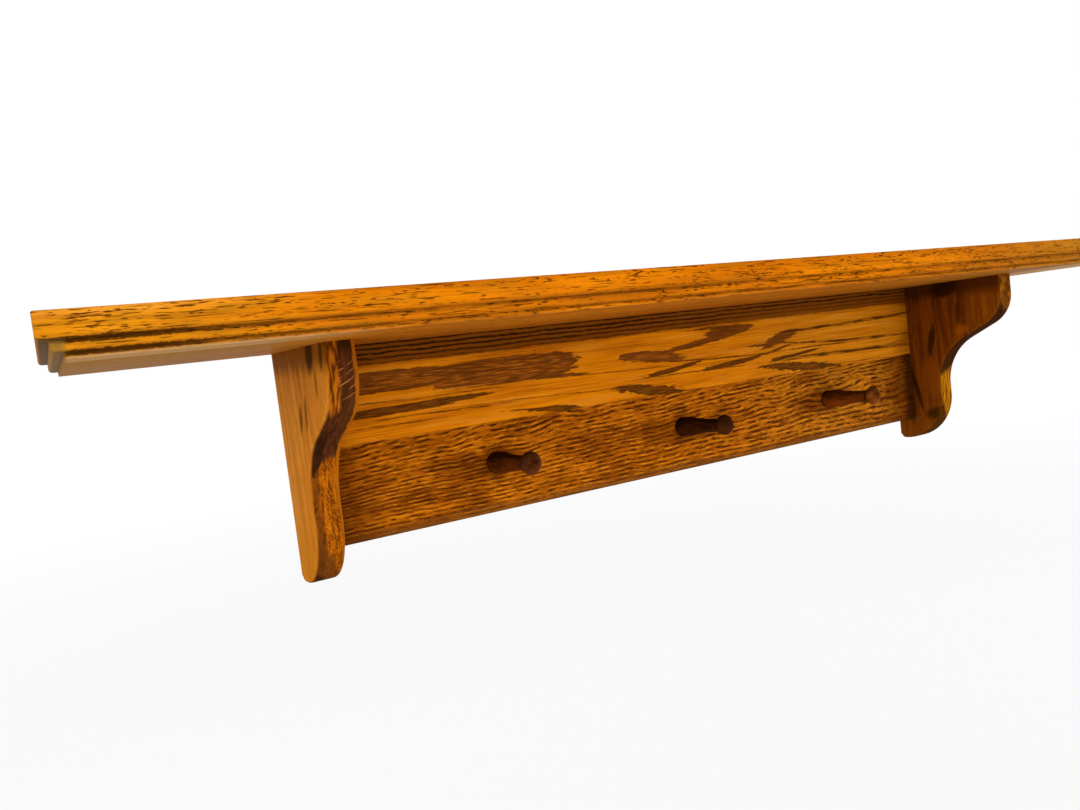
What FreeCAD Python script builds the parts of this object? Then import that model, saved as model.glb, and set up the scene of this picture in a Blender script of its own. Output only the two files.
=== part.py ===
import FreeCAD, Part
import Sketcher
import math
import os

from FreeCAD import Placement, Rotation, Vector

# Wall shelf with a peg rail: an oak shelf board with a moulded edge, carried by two
# S-curved brackets, and a board between them that holds three turned pegs.
# X runs along the shelf, +Y goes into the wall and +Z is up. The wall is the plane
# Y = 0. The origin lies on it, midway between the two keyholes that the shelf hangs by.
# All sizes are in millimetres.

doc = FreeCAD.newDocument("PegRailShelf")
sheet = doc.addObject("Spreadsheet::Sheet", "Sizes")

SIZES = (
    # Shelf board, and the moulding that is routed from below on its front and ends
    ("shelf_length", 914.4),
    ("shelf_depth", 203.2),
    ("shelf_thickness", 19.05),
    ("step_inset", 4.7),
    ("lower_step_height", 2.6),
    ("upper_step_height", 5.0),
    ("step_round", 2.0),
    ("top_ease", 0.8),
    # Brackets: how far apart they stand, and the S-curve from the top to the toe
    ("bracket_span", 647.7),
    ("bracket_thickness", 19.05),
    ("bracket_top_depth", 118.0),
    ("shoulder_flat", 17.0),
    ("shoulder_radius", 30.0),
    ("neck_depth", 49.5),
    ("neck_radius", 49.0),
    ("neck_flat", 10.0),
    ("toe_flat", 1.5),
    ("heel_radius", 4.0),
    ("bracket_round", 2.5),
    # Rail between the brackets
    ("rail_height", 133.35),
    ("rail_thickness", 19.05),
    ("rail_round", 4.0),
    # Turned pegs, each with a tenon in a blind bore of the rail
    ("peg_spacing", 177.8),
    ("peg_drop", 96.5),
    ("peg_seat_depth", 0.6),
    ("peg_base_radius", 7.95),
    ("peg_base_length", 12.0),
    ("peg_neck_reach", 42.0),
    ("peg_neck_radius", 5.3),
    ("peg_head_radius", 8.1),
    ("peg_rim_radius", 3.6),
    ("peg_dome_radius", 12.0),
    ("peg_length", 57.15),
    ("tenon_radius", 4.75),
    ("tenon_length", 14.0),
    ("tenon_chamfer", 0.8),
    # Glued dowels
    ("dowel_radius", 4.0),
    ("dowel_length", 30.0),
    ("dowel_chamfer", 0.8),
    ("dowel_in_shelf", 11.5),
    ("dowel_in_bracket", 10.0),
    # Keyhole plates let into the rail's back, and their screws
    ("hang_drop", 42.0),
    ("keyhole_spacing", 406.4),
    ("plate_width", 16.0),
    ("plate_height", 38.0),
    ("plate_thickness", 1.6),
    ("plate_rise", 3.0),
    ("plate_corner", 1.5),
    ("keyhole_radius", 4.75),
    ("keyslot_radius", 2.4),
    ("keyslot_rise", 9.0),
    ("head_room_radius", 5.6),
    ("head_room_depth", 8.0),
    ("screw_pitch", 28.0),
    ("screw_head_radius", 2.8),
    ("screw_head_height", 1.5),
    ("screw_radius", 1.4),
    ("screw_length", 12.7),
    ("screw_tip", 2.4),
    ("recess_length", 3.0),
    ("recess_width", 0.6),
    ("recess_depth", 0.7),
    # Fits, and how far a cut runs past the face that it starts from
    ("glue_clearance", 0.1),
    ("bore_relief", 1.0),
    ("plate_clearance", 0.15),
    ("pilot_clearance", 0.05),
    ("cut_overrun", 6.0),
)

# Angles in degrees: how steeply the straight run of the S-curve falls, and how far the pegs
# lean up on their way out of the rail
ANGLES = (("ogee_slope", 26), ("peg_lean", 2.5))

# Places of the dowels, as shares of the size that they are spread over
BRACKET_DOWEL_SHARES = (0.28, 0.8)
RAIL_END_DOWEL_SHARES = (0.25, 0.78)
RAIL_TOP_DOWEL_SHARES = (-0.42, 0.0, 0.42)

for row, (name, value) in enumerate(SIZES + ANGLES, start=1):
    sheet.set(f"A{row}", name)
    sheet.set(f"B{row}", str(value))
    sheet.setAlias(f"B{row}", name)
doc.recompute()

size = dict(SIZES + ANGLES)

# The pegs, and their places along the rail in steps of the peg spacing
PEGS = (("left_peg", -1), ("centre_peg", 0), ("right_peg", 1))
PEG_TILT = Rotation(Vector(1, 0, 0), -size["peg_lean"])

# Faces and edges closer than this count as lying in one plane
SAME_PLACE = 1e-6

# Places that several pieces share, as expressions on the sizes
RAIL_LENGTH = "(Sizes.bracket_span - 2 * Sizes.bracket_thickness)"
BRACKET_MIDDLE = "(Sizes.bracket_span / 2 - Sizes.bracket_thickness / 2)"
DOWEL_IN_WOOD = "(Sizes.dowel_length - Sizes.dowel_in_shelf)"
DOWEL_IN_RAIL = "(Sizes.dowel_length - Sizes.dowel_in_bracket)"
DOWEL_BORE = "Sizes.dowel_radius + Sizes.glue_clearance"


def worth(expression):
    # What an expression on the sizes comes to
    return float(sheet.evalExpression(expression))


def spot(across, up):
    return Vector(worth(across), worth(up), 0)


def bind(thing, expressions):
    for path, expression in expressions.items():
        thing.setExpression(path, expression)


def new_body(name, place, turn=Rotation()):
    body = doc.addObject("PartDesign::Body", name)
    body.Label = name
    body.Placement = Placement(Vector(0, 0, 0), turn)
    bind(body, {f"Placement.Base.{axis}": part for axis, part in zip("xyz", place)})
    return body


def new_sketch(body, name, role, lift=None):
    sketch = body.newObject("Sketcher::SketchObject", name)
    plane = next(item for item in body.Origin.OriginFeatures if item.Role == role)
    sketch.AttachmentSupport = (plane, [""])
    sketch.MapMode = "FlatFace"
    if lift:
        sketch.setExpression("AttachmentOffset.Base.z", lift)
    return sketch


def add_rule(sketch, label, expression, kind, *at):
    # A named rule of a sketch that follows the sizes
    value = worth(expression)
    if kind == "Angle":
        value = math.radians(value)
    index = sketch.addConstraint(Sketcher.Constraint(kind, *at, value))
    sketch.renameConstraint(index, label)
    sketch.setExpression(f"Constraints.{label}", expression)


def pin_point(sketch, geometry, point, across, up, label):
    # Ties one point of a sketch to its place from the sketch's origin
    for kind, place, suffix in (("DistanceX", across, "x"), ("DistanceY", up, "y")):
        if place is not None:
            add_rule(sketch, f"{label}_{suffix}", place, kind, -1, 1, geometry, point)


def rectangle(sketch, left, right, low, high):
    corners = (Vector(-1, -1, 0), Vector(1, -1, 0), Vector(1, 1, 0), Vector(-1, 1, 0))
    first = sketch.GeometryCount
    for index in range(4):
        sketch.addGeometry(Part.LineSegment(corners[index], corners[(index + 1) % 4]))
    for index in range(4):
        following = first + (index + 1) % 4
        sketch.addConstraint(Sketcher.Constraint("Coincident", first + index, 2, following, 1))
        direction = "Vertical" if index % 2 else "Horizontal"
        sketch.addConstraint(Sketcher.Constraint(direction, first + index))
    pin_point(sketch, first, 1, left, low, "edge_near")
    pin_point(sketch, first + 1, 2, right, high, "edge_far")


def add_pad(body, name, sketch, length):
    pad = body.newObject("PartDesign::Pad", name)
    pad.Profile = sketch
    pad.setExpression("Length", length)
    return pad


def add_pocket(body, name, sketch, depth):
    # A pocket sunk from the wall side, where the sketches of the rail and plates lie
    pocket = body.newObject("PartDesign::Pocket", name)
    pocket.Profile = sketch
    pocket.Reversed = True
    pocket.setExpression("Length", depth)
    return pocket


def add_bore(body, name, radius, depth, mouth, into):
    # A blind round bore from the middle of its mouth, along one axis
    bore = body.newObject("PartDesign::SubtractiveCylinder", name)
    bore.Placement = Placement(Vector(0, 0, 0), Rotation(Vector(0, 0, 1), Vector(*into)))
    bind(bore, {"Radius": radius, "Height": f"{depth} + Sizes.cut_overrun"})
    for axis, place, step in zip("xyz", mouth, into):
        bore.setExpression(f"Placement.Base.{axis}", f"{place} - ({step}) * Sizes.cut_overrun")
    return bore


def round_edges(body, name, base, radius, wanted):
    doc.recompute()
    edges = [f"Edge{index}" for index, edge in enumerate(base.Shape.Edges, start=1) if wanted(edge)]
    fillet = body.newObject("PartDesign::Fillet", name)
    fillet.Base = (base, edges)
    fillet.setExpression("Radius", radius)
    return fillet


def revolve_profile(body, name, corners, curves):
    # Turns a closed profile about the body's X axis. corners are places along that axis and
    # radii. curves gives, for the curved run after a corner, how far along its centre lies
    # and whether the run is hollow or stands proud.
    sketch = new_sketch(body, name + "_profile", "XY_Plane")
    spots = [spot(along, radius) for along, radius in corners]
    for index, (start, stop) in enumerate(zip(spots, spots[1:] + spots[:1])):
        if index not in curves:
            sketch.addGeometry(Part.LineSegment(start, stop))
            continue
        along, bulge = worth(curves[index][0]), curves[index][1]
        # The centre lies at the given place along the axis, as far from both ends
        square = stop.x ** 2 - start.x ** 2 + stop.y ** 2 - start.y ** 2
        height = (square - 2 * along * (stop.x - start.x)) / (2 * (stop.y - start.y))
        middle = Vector(along, height, 0)
        first, last = [math.atan2(end.y - height, end.x - along) for end in (start, stop)]
        if bulge == "proud":
            first, last = last, first
        round_run = Part.Circle(middle, Vector(0, 0, 1), (start - middle).Length)
        sketch.addGeometry(Part.ArcOfCircle(round_run, first, last))
    # A proud run is drawn from its far end, so its first point is the one that lies further on
    proud = [index in curves and curves[index][1] == "proud" for index in range(len(corners))]
    for index in range(len(corners)):
        following = (index + 1) % len(corners)
        leave = 1 if proud[index] else 2
        enter = 2 if proud[following] else 1
        sketch.addConstraint(Sketcher.Constraint("Coincident", index, leave, following, enter))
    for index, (along, radius) in enumerate(corners):
        pin_point(sketch, index, 2 if proud[index] else 1, along, radius, f"corner{index}")
        if index in curves:
            pin_point(sketch, index, 3, curves[index][0], None, f"centre{index}")
    turning = body.newObject("PartDesign::Revolution", name)
    turning.Profile = sketch
    turning.ReferenceAxis = (sketch, ["H_Axis"])
    turning.Angle = 360


def make_shelf():
    body = new_body("shelf_board", ("0", "0", "Sizes.hang_drop"))
    outline = new_sketch(body, "shelf_outline", "XY_Plane")
    rectangle(outline, "-Sizes.shelf_length / 2", "Sizes.shelf_length / 2", "-Sizes.shelf_depth", "0")
    board = add_pad(body, "shelf_blank", outline, "Sizes.shelf_thickness")
    doc.recompute()
    top = size["shelf_thickness"]

    def on_top_outside(edge):
        middle = edge.CenterOfMass
        return abs(middle.z - top) < SAME_PLACE and middle.y < -SAME_PLACE

    eased = round_edges(body, "shelf_top_ease", board, "Sizes.top_ease", on_top_outside)

    # The cutter's path: from the back, along the left end, the front and the right end
    path = new_sketch(body, "moulding_path", "XY_Plane")
    stops = (Vector(-1, 1, 0), Vector(-1, -1, 0), Vector(1, -1, 0), Vector(1, 1, 0))
    for start, stop in zip(stops, stops[1:]):
        path.addGeometry(Part.LineSegment(start, stop))
    path.addConstraint(Sketcher.Constraint("Coincident", 0, 2, 1, 1))
    path.addConstraint(Sketcher.Constraint("Coincident", 1, 2, 2, 1))
    pin_point(path, 0, 1, "-Sizes.shelf_length / 2", "Sizes.cut_overrun", "back_left")
    pin_point(path, 1, 1, "-Sizes.shelf_length / 2", "-Sizes.shelf_depth", "front_left")
    pin_point(path, 2, 1, "Sizes.shelf_length / 2", "-Sizes.shelf_depth", "front_right")
    pin_point(path, 2, 2, "Sizes.shelf_length / 2", "Sizes.cut_overrun", "back_right")

    # The cutter's shape: two steps, each with a rounded nose left above it
    past = "-Sizes.cut_overrun"
    low, high = "Sizes.lower_step_height", "(Sizes.lower_step_height + Sizes.upper_step_height)"
    corners = (
        (past, f"{high} + Sizes.step_round"),
        ("0", f"{high} + Sizes.step_round"),
        ("Sizes.step_round", high),
        ("Sizes.step_inset", high),
        ("Sizes.step_inset", f"{low} + Sizes.step_round"),
        ("Sizes.step_inset + Sizes.step_round", low),
        ("2 * Sizes.step_inset", low),
        ("2 * Sizes.step_inset", past),
        (past, past),
    )
    noses = (1, 4)
    cutter = new_sketch(body, "moulding_profile", "XZ_Plane", "-Sizes.cut_overrun")
    spots = [spot(f"{across} - Sizes.shelf_length / 2", up) for across, up in corners]
    for index, (start, stop) in enumerate(zip(spots, spots[1:] + spots[:1])):
        if index in noses:
            nose = Part.Circle(Vector(stop.x, start.y, 0), Vector(0, 0, 1), stop.x - start.x)
            cutter.addGeometry(Part.ArcOfCircle(nose, math.pi, 1.5 * math.pi))
        else:
            cutter.addGeometry(Part.LineSegment(start, stop))
    for index, (across, up) in enumerate(corners):
        following = (index + 1) % len(corners)
        cutter.addConstraint(Sketcher.Constraint("Coincident", index, 2, following, 1))
        pin_point(cutter, index, 1, f"{across} - Sizes.shelf_length / 2", up, f"corner{index}")
    for index in noses:
        add_rule(cutter, f"nose{index}", "Sizes.step_round", "Radius", index)
    doc.recompute()
    moulding = body.newObject("PartDesign::SubtractivePipe", "edge_moulding")
    moulding.Profile = cutter
    moulding.Spine = (path, ["Edge1", "Edge2", "Edge3"])
    moulding.Transition = "Right corner"
    doc.recompute()
    if moulding.Shape.Volume >= eased.Shape.Volume:
        raise RuntimeError("the edge moulding cut nothing")

    depth = "Sizes.dowel_in_shelf + Sizes.bore_relief"
    for side in (-1, 1):
        for number, share in enumerate(BRACKET_DOWEL_SHARES):
            mouth = (f"{side} * {BRACKET_MIDDLE}", f"-{share} * Sizes.bracket_top_depth", "0")
            add_bore(body, f"bracket_bore_{side + 1}{number}", DOWEL_BORE, depth, mouth, (0, 0, 1))
    for number, share in enumerate(RAIL_TOP_DOWEL_SHARES):
        mouth = (f"{share} * {RAIL_LENGTH}", "-Sizes.rail_thickness / 2", "0")
        add_bore(body, f"rail_bore_{number}", DOWEL_BORE, depth, mouth, (0, 0, 1))
    return body


def bracket_points():
    # The S-curve from the front top corner down to the heel, in depth from the wall and
    # height, worked out from the sizes so that each run meets the next in line
    slope = math.radians(size["ogee_slope"])
    shoulder, neck = size["shoulder_radius"], size["neck_radius"]
    depth, neck_depth = size["bracket_top_depth"], size["neck_depth"]
    toe = neck_depth - size["heel_radius"] - size["toe_flat"]
    shoulder_centre = Vector(depth - shoulder, -size["shoulder_flat"], 0)
    out = Vector(math.sin(slope), -math.cos(slope), 0)
    shoulder_end = shoulder_centre + out * shoulder
    neck_start_depth = neck_depth + neck * (1 - math.sin(slope))
    run = (shoulder_end.x - neck_start_depth) / math.cos(slope)
    neck_start = shoulder_end + Vector(-math.cos(slope), -math.sin(slope), 0) * run
    neck_centre = neck_start + out * neck
    neck_end = Vector(neck_depth, neck_centre.y, 0)
    toe_start = neck_end - Vector(0, size["neck_flat"], 0)
    toe_centre = toe_start - Vector(toe, 0, 0)
    toe_end = toe_centre - Vector(0, toe, 0)
    heel_centre = Vector(size["heel_radius"], toe_end.y + size["heel_radius"], 0)
    return {
        "shoulder_centre": shoulder_centre, "shoulder_end": shoulder_end,
        "neck_start": neck_start, "neck_centre": neck_centre, "neck_end": neck_end,
        "toe_start": toe_start, "toe_centre": toe_centre, "toe_end": toe_end,
        "heel_centre": heel_centre, "toe": toe, "slope": slope,
    }


def draw_bracket(sketch):
    # Depth runs towards -X of this sketch, because +Y of the shelf goes into the wall
    place = bracket_points()

    def flip(point):
        return Vector(-point.x, point.y, 0)

    def arc(centre, radius, first, last):
        shape = Part.Circle(flip(centre), Vector(0, 0, 1), radius)
        return Part.ArcOfCircle(shape, first, last)

    depth, drop = size["bracket_top_depth"], size["shoulder_flat"]
    heel, slope = size["heel_radius"], place["slope"]
    back, front = Vector(0, 0, 0), Vector(-depth, 0, 0)
    brow = Vector(-depth, -drop, 0)
    heel_low = Vector(-heel, place["toe_end"].y, 0)
    heel_high = Vector(0, place["heel_centre"].y, 0)
    runs = (
        Part.LineSegment(back, front),
        Part.LineSegment(front, brow),
        arc(place["shoulder_centre"], size["shoulder_radius"], math.pi, 1.5 * math.pi - slope),
        Part.LineSegment(flip(place["shoulder_end"]), flip(place["neck_start"])),
        arc(place["neck_centre"], size["neck_radius"], 0, math.pi / 2 - slope),
        Part.LineSegment(flip(place["neck_end"]), flip(place["toe_start"])),
        arc(place["toe_centre"], place["toe"], math.pi, 1.5 * math.pi),
        Part.LineSegment(flip(place["toe_end"]), heel_low),
        arc(place["heel_centre"], heel, 1.5 * math.pi, 2 * math.pi),
        Part.LineSegment(heel_high, back),
    )
    for run in runs:
        sketch.addGeometry(run)
    # Every run joins the next end to start, but the hollow neck is drawn the other way
    last_run, neck_run = len(runs) - 1, 4
    joints = [(index, 2, index + 1, 1) for index in range(last_run)] + [(last_run, 2, 0, 1)]
    joints[neck_run - 1] = (neck_run - 1, 2, neck_run, 2)
    joints[neck_run] = (neck_run, 1, neck_run + 1, 1)
    square_corners = (0, last_run)
    for index, joint in enumerate(joints):
        kind = "Coincident" if index in square_corners else "Tangent"
        sketch.addConstraint(Sketcher.Constraint(kind, *joint))
    for line in (1, 5, last_run):
        sketch.addConstraint(Sketcher.Constraint("Vertical", line))
    sketch.addConstraint(Sketcher.Constraint("Horizontal", 7))
    pin_point(sketch, 0, 1, "0", "0", "back_top")
    pin_point(sketch, 0, 2, "-Sizes.bracket_top_depth", "0", "front_top")
    pin_point(sketch, 1, 2, None, "-Sizes.shoulder_flat", "brow")
    pin_point(sketch, 5, 1, "-Sizes.neck_depth", None, "neck")
    toe = "Sizes.neck_depth - Sizes.heel_radius - Sizes.toe_flat"
    add_rule(sketch, "shoulder_radius", "Sizes.shoulder_radius", "Radius", 2)
    add_rule(sketch, "neck_radius", "Sizes.neck_radius", "Radius", neck_run)
    add_rule(sketch, "toe_radius", toe, "Radius", 6)
    add_rule(sketch, "heel_radius", "Sizes.heel_radius", "Radius", 8)
    add_rule(sketch, "ogee_angle", "-Sizes.ogee_slope", "Angle", 3)
    add_rule(sketch, "neck_length", "Sizes.neck_flat", "Distance", 5)


def make_bracket(name, side):
    # side is -1 for the left bracket and 1 for the right one
    place = "-Sizes.bracket_span / 2" if side < 0 else "Sizes.bracket_span / 2 - Sizes.bracket_thickness"
    body = new_body(name, (place, "0", "Sizes.hang_drop"))
    outline = new_sketch(body, name + "_outline", "YZ_Plane")
    draw_bracket(outline)
    blank = add_pad(body, name + "_blank", outline, "Sizes.bracket_thickness")

    def on_shaped_edge(edge):
        # Both rims of the sawn outline, but not the top that is glued to the shelf, nor the back
        middle = edge.CenterOfMass
        flat_rim = edge.BoundBox.XLength < SAME_PLACE
        return flat_rim and middle.z < -SAME_PLACE and middle.y < -SAME_PLACE

    round_edges(body, name + "_rounded", blank, "Sizes.bracket_round", on_shaped_edge)
    for number, share in enumerate(BRACKET_DOWEL_SHARES):
        mouth = ("Sizes.bracket_thickness / 2", f"-{share} * Sizes.bracket_top_depth", "0")
        depth = f"{DOWEL_IN_WOOD} + Sizes.bore_relief"
        add_bore(body, f"{name}_top_bore_{number}", DOWEL_BORE, depth, mouth, (0, 0, -1))
    inner_face = "Sizes.bracket_thickness" if side < 0 else "0"
    for number, share in enumerate(RAIL_END_DOWEL_SHARES):
        mouth = (inner_face, "-Sizes.rail_thickness / 2", f"-{share} * Sizes.rail_height")
        depth = "Sizes.dowel_in_bracket + Sizes.bore_relief"
        add_bore(body, f"{name}_rail_bore_{number}", DOWEL_BORE, depth, mouth, (side, 0, 0))
    return body


def draw_keyslot(sketch, across, foot, top, radius):
    # An upright slot with round ends, whose middles lie at the foot and at the top
    side, upright = Vector(worth(radius), 0, 0), Vector(0, 0, 1)
    high, low = spot(across, top), spot(across, foot)
    sketch.addGeometry(Part.ArcOfCircle(Part.Circle(high, upright, side.x), 0, math.pi))
    sketch.addGeometry(Part.LineSegment(high - side, low - side))
    sketch.addGeometry(Part.ArcOfCircle(Part.Circle(low, upright, side.x), math.pi, 2 * math.pi))
    sketch.addGeometry(Part.LineSegment(low + side, high + side))
    for index in range(4):
        sketch.addConstraint(Sketcher.Constraint("Tangent", index, 2, (index + 1) % 4, 1))
    sketch.addConstraint(Sketcher.Constraint("Vertical", 1))
    pin_point(sketch, 0, 3, across, top, "slot_top")
    pin_point(sketch, 2, 3, None, foot, "slot_foot")
    add_rule(sketch, "slot_radius", radius, "Radius", 0)


def make_rail():
    body = new_body("peg_rail", ("0", "0", "Sizes.hang_drop"))
    outline = new_sketch(body, "rail_outline", "XZ_Plane")
    rectangle(outline, f"-{RAIL_LENGTH} / 2", f"{RAIL_LENGTH} / 2", "-Sizes.rail_height", "0")
    board = add_pad(body, "rail_blank", outline, "Sizes.rail_thickness")
    foot = -size["rail_height"]
    face = -size["rail_thickness"]

    def at_lower_front(edge):
        middle = edge.CenterOfMass
        return abs(middle.z - foot) < SAME_PLACE and abs(middle.y - face) < SAME_PLACE

    round_edges(body, "rail_rounded", board, "Sizes.rail_round", at_lower_front)

    # Each leaning bore has a shallow flat seat round its mouth, square to the peg
    mouth = (f"{PEGS[0][1]} * Sizes.peg_spacing", "-Sizes.rail_thickness", "-Sizes.peg_drop")
    inwards = tuple(PEG_TILT.multVec(Vector(0, 1, 0)))
    bore = add_bore(body, "peg_bore", "Sizes.tenon_radius + Sizes.glue_clearance",
                    "Sizes.peg_seat_depth + Sizes.tenon_length + Sizes.bore_relief", mouth, inwards)
    seat = add_bore(body, "peg_seat", "Sizes.peg_base_radius + Sizes.glue_clearance",
                    "Sizes.peg_seat_depth", mouth, inwards)
    doc.recompute()
    row_of_bores = body.newObject("PartDesign::LinearPattern", "peg_bores")
    row_of_bores.Originals = [bore, seat]
    along = next(item for item in body.Origin.OriginFeatures if item.Role == "X_Axis")
    row_of_bores.Direction = (along, [""])
    row_of_bores.Occurrences = len(PEGS)
    row_of_bores.setExpression("Length", f"{PEGS[-1][1] - PEGS[0][1]} * Sizes.peg_spacing")
    body.Tip = row_of_bores

    for side, word in ((-1, "left"), (1, "right")):
        centre = f"{side} * Sizes.keyhole_spacing / 2"
        half_width = "(Sizes.plate_width / 2 + Sizes.plate_clearance)"
        half_height = "(Sizes.plate_height / 2 + Sizes.plate_clearance)"
        middle = "(Sizes.plate_rise - Sizes.hang_drop)"
        bed = new_sketch(body, f"{word}_mortise_outline", "XZ_Plane")
        rectangle(bed, f"{centre} - {half_width}", f"{centre} + {half_width}",
                  f"{middle} - {half_height}", f"{middle} + {half_height}")
        add_pocket(body, f"{word}_mortise", bed, "Sizes.plate_thickness")
        room = new_sketch(body, f"{word}_head_room_outline", "XZ_Plane")
        draw_keyslot(room, centre, "-Sizes.hang_drop", "Sizes.keyslot_rise - Sizes.hang_drop",
                     "Sizes.head_room_radius")
        add_pocket(body, f"{word}_head_room", room, "Sizes.plate_thickness + Sizes.head_room_depth")
        for number, step in enumerate((-1, 1)):
            mouth = (centre, "-Sizes.plate_thickness", f"{middle} + {step} * Sizes.screw_pitch / 2")
            add_bore(body, f"{word}_pilot_{number}", "Sizes.screw_radius + Sizes.pilot_clearance",
                     "Sizes.screw_length - Sizes.plate_thickness + Sizes.bore_relief", mouth, (0, -1, 0))
        doc.recompute()

    for number, share in enumerate(RAIL_TOP_DOWEL_SHARES):
        mouth = (f"{share} * {RAIL_LENGTH}", "-Sizes.rail_thickness / 2", "0")
        add_bore(body, f"rail_top_bore_{number}", DOWEL_BORE,
                 f"{DOWEL_IN_WOOD} + Sizes.bore_relief", mouth, (0, 0, -1))
    for side in (-1, 1):
        for number, share in enumerate(RAIL_END_DOWEL_SHARES):
            mouth = (f"{side} * {RAIL_LENGTH} / 2", "-Sizes.rail_thickness / 2",
                     f"-{share} * Sizes.rail_height")
            add_bore(body, f"rail_end_bore_{side + 1}{number}", DOWEL_BORE,
                     f"{DOWEL_IN_RAIL} + Sizes.bore_relief", mouth, (-side, 0, 0))
    return body


def make_peg(name, step):
    # The peg points out of the rail: its own X axis is turned to the room and leans up. Its
    # base stands on the floor of the seat
    place = (
        f"{step} * Sizes.peg_spacing",
        "Sizes.peg_seat_depth * cos(Sizes.peg_lean) - Sizes.rail_thickness",
        "Sizes.hang_drop - Sizes.peg_drop - Sizes.peg_seat_depth * sin(Sizes.peg_lean)",
    )
    body = new_body(name, place, PEG_TILT * Rotation(Vector(0, 0, 1), -90))
    # The head is a low dome that runs in line into a round rim. Both centres follow from it
    ring = "(Sizes.peg_head_radius - Sizes.peg_rim_radius)"
    dome = "(Sizes.peg_length - Sizes.peg_dome_radius)"
    dome_to_rim = f"sqrt((Sizes.peg_dome_radius - Sizes.peg_rim_radius)^2 - {ring}^2)"
    rim = f"({dome} + {dome_to_rim})"
    stretch = "(Sizes.peg_dome_radius / (Sizes.peg_dome_radius - Sizes.peg_rim_radius))"
    head_back = f"{rim} - sqrt(Sizes.peg_rim_radius^2 - (Sizes.peg_neck_radius - {ring})^2)"
    corners = (
        ("-Sizes.tenon_length", "0"),
        ("-Sizes.tenon_length", "Sizes.tenon_radius - Sizes.tenon_chamfer"),
        ("Sizes.tenon_chamfer - Sizes.tenon_length", "Sizes.tenon_radius"),
        ("0", "Sizes.tenon_radius"),
        ("0", "Sizes.peg_base_radius"),
        ("Sizes.peg_base_length", "Sizes.peg_base_radius"),
        ("Sizes.peg_neck_reach", "Sizes.peg_neck_radius"),
        (head_back, "Sizes.peg_neck_radius"),
        (f"{dome} + {stretch} * {dome_to_rim}", f"{stretch} * {ring}"),
        ("Sizes.peg_length", "0"),
    )
    curves = {5: ("Sizes.peg_neck_reach", "hollow"), 7: (rim, "proud"), 8: (dome, "proud")}
    revolve_profile(body, name + "_turning", corners, curves)
    return body


def make_dowel(name, place, turn):
    # A dowel that lies along its own X axis from the given end
    body = new_body(name, place, turn)
    thin = "Sizes.dowel_radius - Sizes.dowel_chamfer"
    corners = (
        ("0", "0"),
        ("0", thin),
        ("Sizes.dowel_chamfer", "Sizes.dowel_radius"),
        ("Sizes.dowel_length - Sizes.dowel_chamfer", "Sizes.dowel_radius"),
        ("Sizes.dowel_length", thin),
        ("Sizes.dowel_length", "0"),
    )
    revolve_profile(body, name + "_turning", corners, {})
    return body


def make_screw(name, place):
    # A flat-head screw whose head is level with the wall plane and whose point is in the rail
    body = new_body(name, place, Rotation(Vector(0, 0, 1), -90))
    corners = (
        ("0", "0"),
        ("0", "Sizes.screw_head_radius"),
        ("Sizes.screw_head_height", "Sizes.screw_radius"),
        ("Sizes.screw_length - Sizes.screw_tip", "Sizes.screw_radius"),
        ("Sizes.screw_length", "0"),
    )
    revolve_profile(body, name + "_turning", corners, {})
    doc.recompute()
    for number, (wide, tall) in enumerate((("length", "width"), ("width", "length"))):
        recess = body.newObject("PartDesign::SubtractiveBox", f"{name}_recess_{number}")
        bind(recess, {
            "Length": "Sizes.recess_depth + Sizes.cut_overrun",
            "Width": f"Sizes.recess_{wide}",
            "Height": f"Sizes.recess_{tall}",
            "Placement.Base.x": "-Sizes.cut_overrun",
            "Placement.Base.y": f"-Sizes.recess_{wide} / 2",
            "Placement.Base.z": f"-Sizes.recess_{tall} / 2",
        })
    return body


def make_plate(name, side):
    body = new_body(name, (f"{side} * Sizes.keyhole_spacing / 2", "0", "0"))
    outline = new_sketch(body, name + "_outline", "XZ_Plane")
    rectangle(outline, "-Sizes.plate_width / 2", "Sizes.plate_width / 2",
              "Sizes.plate_rise - Sizes.plate_height / 2", "Sizes.plate_rise + Sizes.plate_height / 2")
    blank = add_pad(body, name + "_blank", outline, "Sizes.plate_thickness")

    def is_corner(edge):
        return edge.BoundBox.XLength < SAME_PLACE and edge.BoundBox.ZLength < SAME_PLACE

    round_edges(body, name + "_corners", blank, "Sizes.plate_corner", is_corner)
    entry = new_sketch(body, name + "_entry", "XZ_Plane")
    entry.addGeometry(Part.Circle(Vector(0, 0, 0), Vector(0, 0, 1), worth("Sizes.keyhole_radius")))
    pin_point(entry, 0, 3, "0", "0", "entry_middle")
    add_rule(entry, "entry_radius", "Sizes.keyhole_radius", "Radius", 0)
    add_pocket(body, name + "_keyhole", entry, "Sizes.plate_thickness")
    slot = new_sketch(body, name + "_slot", "XZ_Plane")
    draw_keyslot(slot, "0", "0", "Sizes.keyslot_rise", "Sizes.keyslot_radius")
    add_pocket(body, name + "_keyslot", slot, "Sizes.plate_thickness")
    doc.recompute()
    for number, step in enumerate((-1, 1)):
        height = f"Sizes.plate_rise + {step} * Sizes.screw_pitch / 2"
        seat = body.newObject("PartDesign::SubtractiveCone", f"{name}_countersink_{number}")
        seat.Placement = Placement(Vector(0, 0, 0), Rotation(Vector(0, 0, 1), Vector(0, -1, 0)))
        bind(seat, {
            "Radius1": "Sizes.screw_head_radius + Sizes.pilot_clearance",
            "Radius2": "Sizes.screw_radius + Sizes.pilot_clearance",
            "Height": "Sizes.screw_head_height",
            "Placement.Base.z": height,
        })
        mouth = ("0", "0", height)
        add_bore(body, f"{name}_screw_hole_{number}", "Sizes.screw_radius + Sizes.pilot_clearance",
                 "Sizes.plate_thickness + Sizes.cut_overrun", mouth, (0, -1, 0))
    return body


def group(name, members):
    # Like pieces that share one name, each still a solid of its own
    together = doc.addObject("Part::Compound", name)
    together.Label = name
    together.Links = members
    return together


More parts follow.
